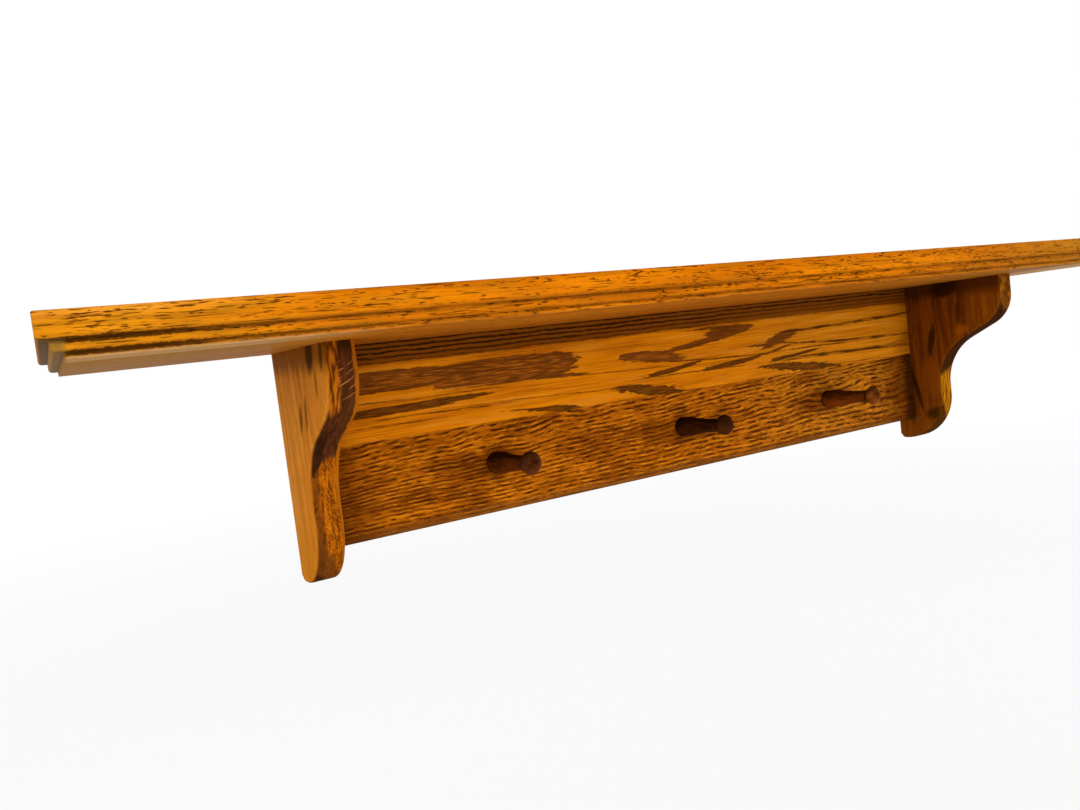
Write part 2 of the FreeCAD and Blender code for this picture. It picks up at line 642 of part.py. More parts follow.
def make_shelf_dowels():
    upright = Rotation(Vector(1, 0, 0), Vector(0, 0, 1))
    foot = f"Sizes.hang_drop - {DOWEL_IN_WOOD}"
    members = []
    for side in (-1, 1):
        for number, share in enumerate(BRACKET_DOWEL_SHARES):
            place = (f"{side} * {BRACKET_MIDDLE}", f"-{share} * Sizes.bracket_top_depth", foot)
            members.append(make_dowel(f"bracket_dowel_{side + 1}{number}", place, upright))
    for number, share in enumerate(RAIL_TOP_DOWEL_SHARES):
        place = (f"{share} * {RAIL_LENGTH}", "-Sizes.rail_thickness / 2", foot)
        members.append(make_dowel(f"rail_top_dowel_{number}", place, upright))
    return group("shelf_dowels", members)


def make_rail_dowels():
    members = []
    for side in (-1, 1):
        end = f"Sizes.bracket_span / 2 - Sizes.bracket_thickness - {DOWEL_IN_RAIL}"
        turn = Rotation(Vector(0, 0, 1), 0 if side > 0 else 180)
        for number, share in enumerate(RAIL_END_DOWEL_SHARES):
            place = (f"{side} * ({end})", "-Sizes.rail_thickness / 2",
                     f"Sizes.hang_drop - {share} * Sizes.rail_height")
            members.append(make_dowel(f"rail_end_dowel_{side + 1}{number}", place, turn))
    return group("rail_dowels", members)


def make_screws():
    members = []
    for side in (-1, 1):
        for number, step in enumerate((-1, 1)):
            place = (f"{side} * Sizes.keyhole_spacing / 2", "0",
                     f"Sizes.plate_rise + {step} * Sizes.screw_pitch / 2")
            members.append(make_screw(f"hanger_screw_{side + 1}{number}", place))
    return group("hanger_screws", members)


pieces = [make_shelf(), make_bracket("left_bracket", -1), make_bracket("right_bracket", 1), make_rail()]
pieces += [make_peg(name, step) for name, step in PEGS]
pieces += [make_shelf_dowels(), make_rail_dowels()]
pieces += [make_plate("left_hanger_plate", -1), make_plate("right_hanger_plate", 1), make_screws()]
doc.recompute()

for thing in doc.Objects:
    if "Invalid" in thing.State or "Error" in thing.State:
        raise RuntimeError(f"{thing.Label} did not build: {thing.State}")

os.makedirs("parts", exist_ok=True)
for piece in pieces:
    shape = piece.Shape
    if shape.isNull() or not shape.isValid():
        raise RuntimeError(f"{piece.Label} has no valid shape")
    shape.exportStep(f"parts/{piece.Label}.step")
    box = shape.BoundBox
    print(f"{piece.Label}: {len(shape.Solids)} solids, {shape.Volume / 1000:.1f} cm3, "
          f"X {box.XMin:.1f} to {box.XMax:.1f}, Y {box.YMin:.1f} to {box.YMax:.1f}, "
          f"Z {box.ZMin:.1f} to {box.ZMax:.1f}")
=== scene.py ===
import math

import bmesh
import bpy
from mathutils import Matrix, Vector


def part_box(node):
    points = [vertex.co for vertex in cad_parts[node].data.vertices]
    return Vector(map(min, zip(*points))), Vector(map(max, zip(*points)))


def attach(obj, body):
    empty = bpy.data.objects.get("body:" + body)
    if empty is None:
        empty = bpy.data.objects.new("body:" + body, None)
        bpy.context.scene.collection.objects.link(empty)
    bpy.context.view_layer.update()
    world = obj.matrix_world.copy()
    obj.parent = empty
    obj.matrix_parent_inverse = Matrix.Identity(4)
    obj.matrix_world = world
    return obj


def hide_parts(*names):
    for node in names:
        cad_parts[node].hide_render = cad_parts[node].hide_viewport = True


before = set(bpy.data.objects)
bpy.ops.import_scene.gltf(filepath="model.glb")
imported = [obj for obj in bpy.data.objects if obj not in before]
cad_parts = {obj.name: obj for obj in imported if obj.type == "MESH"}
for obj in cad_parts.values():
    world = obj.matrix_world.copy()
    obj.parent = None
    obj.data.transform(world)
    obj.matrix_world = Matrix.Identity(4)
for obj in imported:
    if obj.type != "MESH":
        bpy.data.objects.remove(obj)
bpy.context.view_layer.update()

# Shelf board. One wide board of flat-sawn oak, stained golden and lacquered. Two steps with
# rounded noses are routed from below round the front and both ends, and the back is cut
# off square where it meets the wall.
mm = 0.001
step_heights, step_inset = (5.0, 2.6), 4.7
nose_radius, nose_facets = 2.0, 5
top_ease, ease_facets = 0.8, 3
sanded_edge, smooth_angle = 0.3, math.radians(35)
rounding = 0.01


def same(one, other):
    # Whether two places in millimetres are one, but for rounding
    return abs(one - other) < rounding


def choose(kind, test):
    # Selects the vertices, edges or faces of the edited piece that pass a test on the middle
    # and on the span of each one, in millimetres
    bpy.ops.mesh.select_mode(type={"verts": "VERT", "edges": "EDGE", "faces": "FACE"}[kind])
    bpy.ops.mesh.select_all(action="DESELECT")
    mesh = bmesh.from_edit_mesh(bpy.context.object.data)
    for part in getattr(mesh, kind):
        corners = [part.co] if kind == "verts" else [corner.co for corner in part.verts]
        middle = sum(corners, Vector()) / len(corners) / mm
        span = Vector([max(places) - min(places) for places in zip(*corners)]) / mm
        if test(middle, span):
            part.select_set(True)
    mesh.select_flush_mode()
    bmesh.update_edit_mesh(bpy.context.object.data)


def push(x, y, z):
    # Pulls new material out of the chosen faces or vertices, in millimetres
    bpy.ops.mesh.extrude_region_move(TRANSFORM_OT_translate={"value": (x * mm, y * mm, z * mm)})


def soften(offset, segments):
    bpy.ops.mesh.bevel(offset=offset * mm, segments=segments, affect="EDGES")


def sand(piece, sharp_angle=40):
    # Takes the sharpness off every edge that is still left, as sandpaper does
    bpy.ops.object.mode_set(mode="OBJECT")
    edge = piece.modifiers.new("sanded_edges", "BEVEL")
    edge.width, edge.segments = sanded_edge * mm, 2
    edge.limit_method, edge.angle_limit = "ANGLE", math.radians(sharp_angle)
    bpy.ops.object.modifier_apply(modifier=edge.name)
    bpy.ops.object.shade_smooth_by_angle(angle=smooth_angle)


shelf_low, shelf_high = (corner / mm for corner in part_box("shelf_board"))
shelf_foot, shelf_top = shelf_low.z, shelf_high.z
upper_nose = shelf_foot + sum(step_heights)
lower_nose = upper_nose - step_heights[0]
# The blank reaches this far past the wall until it has been moulded
spare = 20
bpy.ops.object.select_all(action="DESELECT")
bpy.ops.mesh.primitive_cube_add(
    size=mm,
    location=(0, (shelf_low.y + spare) / 2 * mm, (upper_nose + shelf_top) / 2 * mm),
    scale=(shelf_high.x - shelf_low.x, spare - shelf_low.y, shelf_top - upper_nose),
)
shelf = bpy.context.object
shelf.name = "moulded_shelf"
bpy.ops.object.transform_apply(location=True, rotation=True, scale=True)
bpy.ops.object.mode_set(mode="EDIT")
level = upper_nose
for height in step_heights:
    choose("faces", lambda middle, span: same(middle.z, level))
    bpy.ops.mesh.inset(thickness=step_inset * mm)
    push(0, 0, -height)
    level -= height
for nose, inset in ((upper_nose, 0), (lower_nose, step_inset)):
    choose("edges", lambda middle, span: same(middle.z, nose) and same(span.z, 0) and (
        same(abs(middle.x), shelf_high.x - inset) or same(middle.y, shelf_low.y + inset)))
    soften(nose_radius, nose_facets)
choose("edges", lambda middle, span: same(middle.z, shelf_top) and same(span.z, 0))
soften(top_ease, ease_facets)
bpy.ops.mesh.select_all(action="SELECT")
bpy.ops.mesh.bisect(plane_co=(0, 0, 0), plane_no=(0, 1, 0), use_fill=True, clear_outer=True)
bpy.ops.mesh.select_all(action="SELECT")
bpy.ops.mesh.normals_make_consistent(inside=False)
sand(shelf)
cut_ends = shelf.data.attributes.new("end_grain", "FLOAT", "FACE")
for face, mark in zip(shelf.data.polygons, cut_ends.data):
    mark.value = face.normal.x ** 2


class Wire:
    # One socket in a material. A sum or product of wires and numbers becomes Math nodes
    def __init__(self, tree, socket=None):
        self.tree, self.socket = tree, socket

    def node(self, kind, settings={}, inputs={}, output=0):
        made = self.tree.nodes.new("ShaderNode" + kind)
        for name, value in settings.items():
            setattr(made, name, value)
        for name, value in inputs.items():
            if isinstance(value, Wire):
                self.tree.links.new(value.socket, made.inputs[name])
            else:
                made.inputs[name].default_value = value
        return Wire(self.tree, made.outputs[output] if made.outputs else None)

    def math(self, operation, *values):
        return self.node("Math", {"operation": operation}, dict(enumerate(values)))

    def __add__(self, other):
        return self.math("ADD", self, other)

    def __sub__(self, other):
        return self.math("SUBTRACT", self, other)

    def __rsub__(self, other):
        return self.math("SUBTRACT", other, self)

    def __mul__(self, other):
        return self.math("MULTIPLY", self, other)

    def __truediv__(self, other):
        return self.math("DIVIDE", self, other)

    def __pow__(self, other):
        return self.math("POWER", self, other)

    def __abs__(self):
        return self.math("ABSOLUTE", self)

    def larger(self, other):
        return self.math("MAXIMUM", self, other)

    def smaller(self, other):
        return self.math("MINIMUM", self, other)

    def fraction(self):
        return self.math("FRACT", self)

    def sine(self):
        return self.math("SINE", self)

    __radd__, __rmul__ = __add__, __mul__


def colour(red, green, blue):
    # A colour as a screen shows it, 0 to 255, in the linear values that shaders use
    return tuple((c / 255 / 12.92 if c < 10 else ((c / 255 + 0.055) / 1.055) ** 2.4)
                 for c in (red, green, blue)) + (1,)


def new_finish(name):
    # A bare material, and where its surface lies on the object, in millimetres
    finish = bpy.data.materials.new(name)
    finish.use_nodes = True
    finish.node_tree.nodes.clear()
    place = Wire(finish.node_tree).node("TexCoord", output="Object")
    split = place.node("SeparateXYZ", {}, {0: place})
    return finish, [Wire(place.tree, axis) / mm for axis in split.socket.node.outputs]


def cloud(x, y, z, detail=2):
    # Noise about 0.5, with one blob to each unit of the three places
    place = x.node("CombineXYZ", {}, {0: x, 1: y, 2: z})
    return x.node("TexNoise", {}, {"Vector": place, "Scale": 1, "Detail": detail})


def rise(value, low, high):
    # A smooth climb from 0 at low to 1 at high, or a fall where high is the smaller
    return value.node("MapRange", {"interpolation_type": "SMOOTHSTEP"},
                      {"Value": value, "From Min": low, "From Max": high})


def tint(mask, under, over):
    # One colour laid over another by a mask
    return mask.node("Mix", {"data_type": "RGBA"}, {0: mask, 6: under, 7: over}, 2)


def lacquer(finish, shade, height, depth, roughness, gloss):
    # Stained wood under thin satin lacquer. Its open grain is relief, of a depth in millimetres
    bump = shade.node("Bump", {}, {"Strength": 1.0, "Distance": depth * mm, "Height": height})
    body = shade.node("BsdfPrincipled", {}, {
        "Base Color": shade, "Roughness": roughness, "Normal": bump, "Specular IOR Level": gloss,
    })
    shade.node("OutputMaterial", {}, {"Surface": body})
    return finish


def painted_nose_shade(shade, x, z, tone, fray):
    # Painted shade: black in the corner under each routed nose, here and there, and thickest towards
    # the left end
    heavy = rise(x + 60 * (tone - 0.5), -340, -425)
    broad = rise(tone, 0.36, 0.6).larger(rise(x, -180, -280))
    for corner in (upper_nose, lower_nose):
        down = abs(z - corner + 0.5 - 1.8 * fray)
        shade = tint(rise(down, 2.8, 0.8) * broad * 0.35, shade, colour(146, 86, 20))
        patchy = rise(cloud(x / 34, z / 9, corner / 9, 3) + 0.14 * heavy, 0.38, 0.58)
        corner_shade = rise(down, 0.9 + 0.5 * heavy, 0.2 + 0.6 * heavy) * patchy
        shade = tint(corner_shade * (0.6 + 0.3 * heavy), shade, colour(58, 28, 5))
    return shade


def underside_and_painted_sheen(shade, x, y, z, wander):
    # The underside is a duller brown than the front. At its left end a painted sheen lies over it,
    # palest in a strip along the front, and the right end is paler than the middle too
    under = rise(z, shelf_foot + 1.5, shelf_foot)
    left = rise(x + 40 * wander, -300, -380)
    shade = tint(under * (0.2 + 0.55 * left), shade, colour(148, 106, 50))
    # Painted sheen in a strip along the front at the left end
    painted_sheen_strip = rise(y + 5 * wander - 0.02 * x, -153, -157)
    shade = tint(under * left * painted_sheen_strip * 0.75, shade, colour(192, 148, 96))
    shade = tint(under * rise(x, 300, 350) * 0.85, shade, colour(200, 154, 94))
    # Painted shade: the steps of the moulding on the left end are a duller brown
    shaded_end_steps = rise(z, upper_nose + 1, upper_nose - 1) * rise(x, -446, -449)
    return tint(shaded_end_steps * 0.75, shade, colour(132, 100, 46))


def shelf_finish():
    finish, (x, y, z) = new_finish("golden_oak_shelf")
    # The rings lie round a pith some way under the middle of the board, which grew a little
    # crooked, and the first part of each ring is porous
    pith_y, pith_z, ring_gap = -95, -58, 5.4
    wander = cloud(x / 260, y / 90, z / 90) - 0.5
    deep, low = y - pith_y + 50 * wander, z - pith_z + 0.045 * x + 30 * wander
    rings = (deep * deep + low * low) ** 0.5 / ring_gap
    season = (rings + 0.5 * cloud(x / 14, y / 3, z / 3)).fraction()
    porous = 1 - rise(season, 0.05, 0.5)
    # Open pores are short black dashes, in clusters, with a few long ones among them
    fray = cloud(x / 2.2, y / 0.6, z / 0.6, 1) - 0.5
    dash = cloud((x + 2 * fray) / 4.6, y / 0.72, (z + 0.4 * fray) / 0.72, 1)
    dashes, stained = rise(dash, 0.60, 0.67), rise(dash, 0.52, 0.61)
    clusters = rise(cloud(x / 24, y / 4, z / 2.4, 2), 0.45, 0.57)
    top = rise(z, shelf_top - 0.5, shelf_top - 0.1)
    clusters = clusters * (1 - top) + porous * top
    long_dashes = rise(cloud(x / 16, y / 0.7, z / 0.7, 2), 0.62, 0.66)
    pores = (dashes * clusters).larger(long_dashes * 0.85)
    hair = rise(cloud(x / 60, y / 0.9, z / 0.9, 2), 0.45, 0.68)
    # Gold, duller towards the right end and brighter towards the left one, with a painted highlight
    # along the upper edge there, darker hair lines and smudges, and brown round the pores
    tone = cloud(x / 90, y / 14, z / 9, 2)
    shade = tint(rise(tone, 0.3, 0.7), colour(220, 124, 6), colour(198, 104, 4))
    shade = tint(rise(x, 20, 420) * 0.9, shade, colour(162, 114, 28))
    shade = tint(rise(x, -320, -440) * (0.8 - 0.4 * top), shade, colour(214, 138, 18))
    # Painted highlight: the upper edge at the left end is paler
    painted_edge_highlight = rise(z + 3 * (tone - 0.5), 56, 60) * rise(x, -330, -430) * (1 - top)
    shade = tint(painted_edge_highlight * 0.4, shade, colour(224, 152, 58))
    shade = tint(hair * 0.35, shade, colour(156, 80, 2))
    shade = tint(porous * (0.25 + 0.3 * top), shade, colour(160, 82, 4))
    smudge = rise(cloud(x / 34, y / 9, z / 2.6, 3), 0.46, 0.66)
    smudge = smudge * (0.25 + 0.3 * rise(x, -240, -400) * (1 - top))
    shade = tint(smudge, shade, colour(152, 98, 16))
    shade = tint(stained * clusters * 0.55, shade, colour(134, 64, 6))
    shade = painted_nose_shade(shade, x, z, tone, fray)
    shade = tint(pores * 0.85, shade, colour(58, 28, 3))
    shade = underside_and_painted_sheen(shade, x, y, z, wander)
    # End grain drinks more stain and shows the rings as arcs
    ends = x.node("Attribute", {"attribute_name": "end_grain"}, {}, "Fac")
    specks = rise(cloud(x / 2, y / 0.8, z / 0.8, 1), 0.5, 0.62)
    end_shade = tint(porous * 0.5 + specks * 0.3, colour(152, 106, 42), colour(90, 58, 20))
    shade = tint(ends * 0.9, shade, end_shade)
    height = 0.6 - 0.5 * pores - 0.12 * hair - 0.15 * specks * ends
    return lacquer(finish, shade, height, depth=0.4, roughness=0.42 + 0.25 * pores, gloss=0.002)


shelf.data.materials.append(shelf_finish())
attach(shelf, "root")
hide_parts("shelf_board")

# Brackets. Each is sawn from an upright oak board along an S-curve: a full shoulder under
# the shelf, a hollow neck and a round toe. The sawn rims are rounded over, and dowels hold
# the bracket up to the shelf and against the end of the rail.
bracket_depth, shoulder_flat, shoulder_radius = 118.0, 17.0, 30.0
neck_depth, neck_radius, neck_flat = 49.5, 49.0, 10.0
toe_flat, heel_radius, rim_radius = 1.5, 4.0, 2.5
curve_slope = math.radians(26)
curve_facets, rim_facets = 20, 6


def arc(x, y, z, degrees):
    # Carries the chosen vertex round a centre, in the plane of the bracket. Spin turns
    # clockwise, so the angle changes its sign
    bpy.ops.mesh.spin(steps=curve_facets, angle=-math.radians(degrees), axis=(1, 0, 0),
                      center=(x * mm, y * mm, z * mm))


def start_outline(name, x, y, z):
    # One vertex, from which an outline is drawn on
    bpy.ops.object.select_all(action="DESELECT")
    bpy.ops.mesh.primitive_plane_add(size=mm)
    bpy.context.object.name = name
    bpy.ops.object.mode_set(mode="EDIT")
    bpy.ops.mesh.select_mode(type="VERT")
    bpy.ops.mesh.select_all(action="SELECT")
    bpy.ops.mesh.merge(type="CENTER")
    bpy.ops.transform.translate(value=(x * mm, y * mm, z * mm))
    return bpy.context.object


def saw_bracket(name, node):
    low, high = (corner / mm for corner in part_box(node))
    bracket = start_outline(name, low.x, 0, high.z)
    # The outline from the back top corner, along the shelf and down the S-curve
    push(0, -bracket_depth, 0)
    push(0, 0, -shoulder_flat)
    shoulder_y, shoulder_z = shoulder_radius - bracket_depth, high.z - shoulder_flat
    arc(low.x, shoulder_y, shoulder_z, 90 - math.degrees(curve_slope))
    start_y = shoulder_y - shoulder_radius * math.sin(curve_slope)
    start_z = shoulder_z - shoulder_radius * math.cos(curve_slope)
    run = (-start_y - neck_depth - neck_radius * (1 - math.sin(curve_slope))) / math.cos(curve_slope)
    push(0, run * math.cos(curve_slope), -run * math.sin(curve_slope))
    neck_y = start_y + run * math.cos(curve_slope) - neck_radius * math.sin(curve_slope)
    neck_z = start_z - run * math.sin(curve_slope) - neck_radius * math.cos(curve_slope)
    arc(low.x, neck_y, neck_z, math.degrees(curve_slope) - 90)
    push(0, 0, -neck_flat)
    toe_radius = neck_depth - heel_radius - toe_flat
    arc(low.x, toe_radius - neck_depth, neck_z - neck_flat, 90)
    push(0, toe_flat, 0)
    arc(low.x, -heel_radius, neck_z - neck_flat - toe_radius + heel_radius, 90)
    # The back edge closes the outline, and the board gets its thickness
    choose("verts", lambda middle, span: same(middle.y, 0))
    bpy.ops.mesh.edge_face_add()
    bpy.ops.mesh.select_all(action="SELECT")
    bpy.ops.mesh.edge_face_add()
    push(high.x - low.x, 0, 0)
    choose("edges", lambda middle, span: same(span.x, 0) and not (
        same(middle.y, 0) or same(middle.z, high.z)))
    soften(rim_radius, rim_facets)
    bpy.ops.mesh.select_all(action="SELECT")
    bpy.ops.mesh.normals_make_consistent(inside=False)
    sand(bracket, sharp_angle=50)
    return bracket


def copy_along(piece, name, shift):
    # A copy with a mesh of its own, moved along the shelf by so many millimetres
    bpy.ops.object.select_all(action="DESELECT")
    piece.select_set(True)
    bpy.context.view_layer.objects.active = piece
    bpy.ops.object.duplicate()
    copy = bpy.context.object
    copy.name = name
    copy.location.x = shift * mm
    bpy.ops.object.transform_apply(location=True, rotation=False, scale=False)
    return copy


def left_sawn_edge(x, y, z, inward, grain):
    # Dark end grain round the shoulder and neck, darkest on the neck's outer side
    ripple = 9 * (cloud(x / 3, y / 20, z / 30) - 0.5)
    dark = tint(rise(grain, 0.35, 0.65), colour(70, 35, 14), colour(94, 50, 22))
    outside = rise(inward + 5 * (grain - 0.5), 10, 6)
    dark = tint(outside * rise(z, -2, -16) * 0.7, dark, colour(36, 20, 9))
    # Below the neck it is gold, with its outer side brown and a few knots of stain, and the
    # toe is dark underneath
    gold = tint(rise(grain, 0.40, 0.62), colour(112, 54, 5), colour(180, 94, 8))
    gold = tint(rise(cloud(x / 5, y / 6, z / 9, 3), 0.48, 0.62) * 0.6, gold, colour(128, 60, 6))
    flecks = rise(cloud((x + 0.6 * z) / 0.9, y / 2, (z - 0.6 * x) / 3, 2), 0.5, 0.64)
    gold = tint(flecks * 0.45, gold, colour(214, 128, 24))
    gold = tint(rise(inward + 3 * (grain - 0.5), 7.4, 5.4) * 0.65, gold, colour(96, 50, 10))
    stain = rise(cloud(x / 4, y / 6, z / 7, 2), 0.54, 0.62) * rise(inward, 8, 5.5)
    gold = tint(stain * 0.7, gold, colour(52, 26, 6))
    off_middle = inward - 9
    lag = 1.7 * off_middle.smaller(0.0)
    edge = tint(rise(z + 0.5 * ripple - lag, -29, -24), gold, dark)
    edge = tint(rise(z + ripple + 1.9 * off_middle, -82, -96) * 0.75, edge, colour(96, 50, 14))
    edge = tint(rise(z + 0.8 * off_middle, -106, -110) * 0.7, edge, colour(44, 24, 6))
    # Painted shade at the top, right under the shelf
    edge = tint(rise(z, 34, 40) * 0.7, edge, colour(52, 24, 3))
    # A streaked orange strip on the outer side, at the top
    shoulder = rise(inward + 4 * (cloud(z / 9, y / 9, x / 9, 2) - 0.5), 8.8, 6.6) * rise(z, -4, 7)
    streaked = tint(rise(grain, 0.42, 0.62), colour(96, 46, 5), colour(190, 104, 13))
    edge = tint(shoulder * 0.85, edge, streaked)
    # Curls of lighter grain where the saw came round the shoulder
    sag = 0.25 * inward + 0.035 * (inward - 8) * (inward - 8) + 2.4 * (cloud(x / 8, y / 9, z / 6) - 0.5)
    wave = ((z - sag) / 4.4).fraction()
    curl = rise(abs(wave - 0.5), 0.08, 0.02) * rise(cloud(x / 5, y / 9, z / 3), 0.36, 0.5)
    curl = curl * rise(z, 8, 11) * rise(z, 32, 28) * rise(inward, 6.0, 8.5) * rise(inward, 17.0, 14.5)
    return tint(curl * 0.75, edge, colour(204, 128, 64))


def right_sawn_edge(x, y, z, inward, grain):
    # Mottled gold on the shoulder, then dark end grain down to the neck
    ripple = 9 * (cloud(x / 3, y / 20, z / 30) - 0.5)
    dark = tint(rise(grain, 0.35, 0.65), colour(46, 24, 9), colour(74, 38, 14))
    mottles = rise(cloud(x / 5, y / 6, z / 6, 3), 0.36, 0.66)
    mottled = tint(mottles, colour(108, 58, 10), colour(168, 100, 22))
    off_middle = inward - 9
    edge = tint(rise(z + 1.5 * ripple - 0.5 * off_middle, 8, 18), dark, mottled)
    # Below the neck a gold patch runs down to the toe's outer side
    gold = tint(rise(grain, 0.36, 0.62), colour(112, 62, 7), colour(190, 122, 16))
    edge = tint(rise(z + ripple + 0.55 * off_middle, -40, -50), edge, gold)
    edge = tint(rise(z + 0.6 * ripple - 1.2 * off_middle, -80, -88) * 0.9, edge, colour(56, 28, 6))
    # Painted highlight: a thin pale line along the outer rim
    rim = rise(inward + 1.2 * (grain - 0.5), 2.6, 1.4) * rise(z, 40, 30)
    return tint(rim * 0.6, edge, colour(196, 150, 74))


def bracket_finish(node, face, spots, sawn_edge, painted_light_share):
    finish, (x, y, z) = new_finish("golden_oak_" + node)
    low, high = (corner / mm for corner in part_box(node))
    inward = high.x - x if low.x > 0 else x - low.x
    # Long soft streaks up the board, a little bent
    bend = 7 * (cloud(x / 40, y / 45, z / 120) - 0.5)
    streak = cloud(x / 5, (y + bend) / 7, z / 120, 3)
    fine = cloud(x / 2, (y + bend) / 1.1, z / 34, 2)
    shade = tint(rise(streak, 0.36, 0.64), face["light"], face["dark"])
    shade = tint(rise(fine, 0.46, 0.70) * 0.3, shade, face["streak"])
    ticks = rise(cloud(x / 0.7, (y + bend) / 0.7, z / 9, 1), 0.62, 0.68)
    shade = tint(ticks * 0.45, shade, face["streak"])
    warm = rise(y, -78, -94) * rise(z + 10 * (streak - 0.5), -10, 12) * rise(streak, 0.42, 0.58)
    shade = tint(warm * 0.7, shade, face["warm"])
    shade = tint(rise(z + 14 * (streak - 0.5), -60, -96) * 0.6, shade, face["foot"])
    # Painted shade right under the shelf, and long spots of darker and warmer stain, nearly all on the
    # face that looks to the left, among them painted shade and a painted reflection
    under = rise(z + 11 * (streak - 0.5), 23, 35)
    shade = tint(under * 0.8, shade, face["under"])
    spotted = 0.15 + 0.85 * rise(x - low.x, 9, 6)
    for spot_y, spot_z, lean, wide, tall, depth, stain in spots:
        across = (y - spot_y + lean * (z - spot_z)) / wide
        spot = across ** 2 + ((z - spot_z) / tall) ** 2 + 1.6 * (fine - 0.5) + 1.2 * (streak - 0.5)
        shade = tint(rise(spot, 1.3, 0.3) * spotted * depth, shade, stain)
    # The sawn edge between the rims
    inside = rise(abs(x - (low.x + high.x) / 2), 9.3, 7.6)
    front = inside * rise(y, -3, -6)
    grain = cloud(x / 1.6, y / 9, z / 12, 3)
    shade = tint(front, shade, sawn_edge(x, y, z, inward, grain))
    # Painted highlight: the inner rim is golden where its round-over starts
    rim_wobble = cloud(x / 2, y / 6, z / 6, 2) - 0.5
    rim = rise(inward + 2 * rim_wobble, 15.6, 16.8) * rise(inward - 2 * rim_wobble, 19.0, 18.2)
    shade = tint(rim * rise(y, -5, -9) * rise(z, -70, -40) * painted_light_share, shade, colour(180, 98, 6))
    height = 0.5 - 0.3 * ticks - 0.12 * fine - 0.3 * front * grain
    return lacquer(finish, shade, height, depth=0.35, roughness=0.5 + 0.2 * ticks, gloss=0.001)


# The colours of the sawn faces, of which under is painted shade right under the shelf, and spots on
# them, mostly of stain. A spot has its place across and up, its lean, half width, half height, depth
# and colour. The red colour is a painted reflection, and the dark one serves both stain and painted
# shade
dark_stain_and_shade, painted_rail_reflection, orange_stain = colour(44, 22, 4), colour(126, 62, 7), colour(160, 80, 10)
left_faces = {
    "light": colour(202, 128, 42), "dark": colour(186, 110, 28), "streak": colour(130, 74, 10),
    "warm": colour(204, 128, 34), "under": colour(112, 62, 12), "foot": colour(182, 108, 12),
}
left_spots = (
    (-90, 38, 0.25, 9, 14, 0.85, dark_stain_and_shade),
    (-113, 36, 0.25, 4, 10, 0.7, dark_stain_and_shade),
    (-66, 2, 0.25, 3.2, 12, 0.6, dark_stain_and_shade),
    (-53, -1, 0.25, 3.8, 10, 0.7, dark_stain_and_shade),
    (-96, 20, 0.1, 3, 10, 0.5, dark_stain_and_shade),
)
# The right bracket's inner face lies under the shelf, so its colours are all darker, as painted shade
right_shaded_faces = {
    "light": colour(130, 65, 6), "dark": colour(98, 46, 4), "streak": colour(60, 26, 2),
    "warm": colour(154, 84, 12), "under": colour(70, 34, 4), "foot": colour(112, 56, 6),
}
# On the right bracket the red spots near the rail are a painted reflection of the rail, and the dark
# spots at the top under the shelf and those beside the rail are painted shade
right_spots = (
    (-40, -50, -0.1, 13, 22, 0.8, painted_rail_reflection),
    (-78, -5, 0.3, 8, 5, 0.6, orange_stain),
    (-36, 15, 0, 14, 14, 0.6, painted_rail_reflection),
    (-62, 37, 0.4, 16, 10, 0.9, dark_stain_and_shade),
    (-44, -14, 0.22, 4, 17, 0.85, dark_stain_and_shade),
    (-75, 12, 0.1, 3, 12, 0.5, dark_stain_and_shade),
    (-22, -56, -0.25, 3.4, 30, 0.85, dark_stain_and_shade),
    (-16, -80, 0, 5, 18, 0.6, dark_stain_and_shade),
    (-45, -86, 0.3, 14, 7, 0.8, dark_stain_and_shade),
)
left_bracket = saw_bracket("left_s_bracket", "left_bracket")
bracket_gap = (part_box("right_bracket")[0].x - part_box("left_bracket")[0].x) / mm
right_bracket = copy_along(left_bracket, "right_s_bracket", bracket_gap)
for bracket, node, faces, spots, sawn_edge, painted_light_share in (
    (left_bracket, "left_bracket", left_faces, left_spots, left_sawn_edge, 0.85),
    (right_bracket, "right_bracket", right_shaded_faces, right_spots, right_sawn_edge, 0.0),
):
    bracket.data.materials.append(bracket_finish(node, faces, spots, sawn_edge, painted_light_share))
    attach(bracket, "root")
    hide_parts(node)

# Peg rail. A straight board of boldly figured oak between the brackets, with its lower
# front edge rounded over. Pointed arches of the growth rings lie on their side in its
# upper half, and the lower half is full of short wavy pores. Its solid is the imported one.
peg_row, peg_spacing = -54.5, 177.8
halves_meet, band_gap, row_gap = -25, 3.4, 3.7

# Growth rings cut at a slant, each with its start, stop, half width, bow, where it is fattest
# and how full it is, in millimetres along the rail and up
arches = (
    ((-350, 15.6), (-190, 14.6), 7.9, 0.0, 0.5, 0.22),
    ((-222, 12.3), (-99, 12.3), 10.3, 0.0, 0.5, 0.16),
    ((-150, 13.2), (-92, 13.0), 6.0, 0.0, 0.3, 0.6),
    ((-150, 5.0), (-84, 0.8), 2.4, 0.0, 0.4, 0.6),
    ((-60, 10.6), (12, 2.8), 5.2, 0.6, 0.55, 0.5),
    ((14, 25.8), (84, 22.6), 2.0, 0.6, 0.7, 0.5),
    ((-18, 8.4), (72, 17.4), 3.0, 0.4, 0.5, 0.5),
    ((36, 19.2), (92, 22.0), 5.2, 0.0, 0.44, 0.5),
    ((74, 5.2), (132, 4.2), 1.9, 0.0, 0.6, 0.6),
    ((100, 2.2), (148, 13.8), 5.0, 0.6, 0.45, 0.5),
)
# The same, of darker ones beside and under the arches
tails = (
    ((-350, -5.6), (-206, -5.4), 3.3, 0.0, 0.5, 0.2),
    ((-262, -5.2), (-166, -3.0), 3.1, 0.0, 0.25, 0.6),
    ((-178, -16.4), (-98, -24.2), 2.9, -0.4, 0.78, 0.6),
    ((-66, -14.0), (8, -24.6), 4.8, -0.4, 0.5, 0.5),
    ((-34, -8.6), (32, -1.2), 2.7, -0.8, 0.45, 0.6),
    ((30, -9.6), (110, -3.0), 2.8, -1.0, 0.35, 0.6),
    ((110, -10.8), (178, -5.0), 2.1, -0.4, 0.3, 0.6),
    ((92, -14.2), (208, -26.4), 4.4, 0.2, 0.52, 0.6),
)
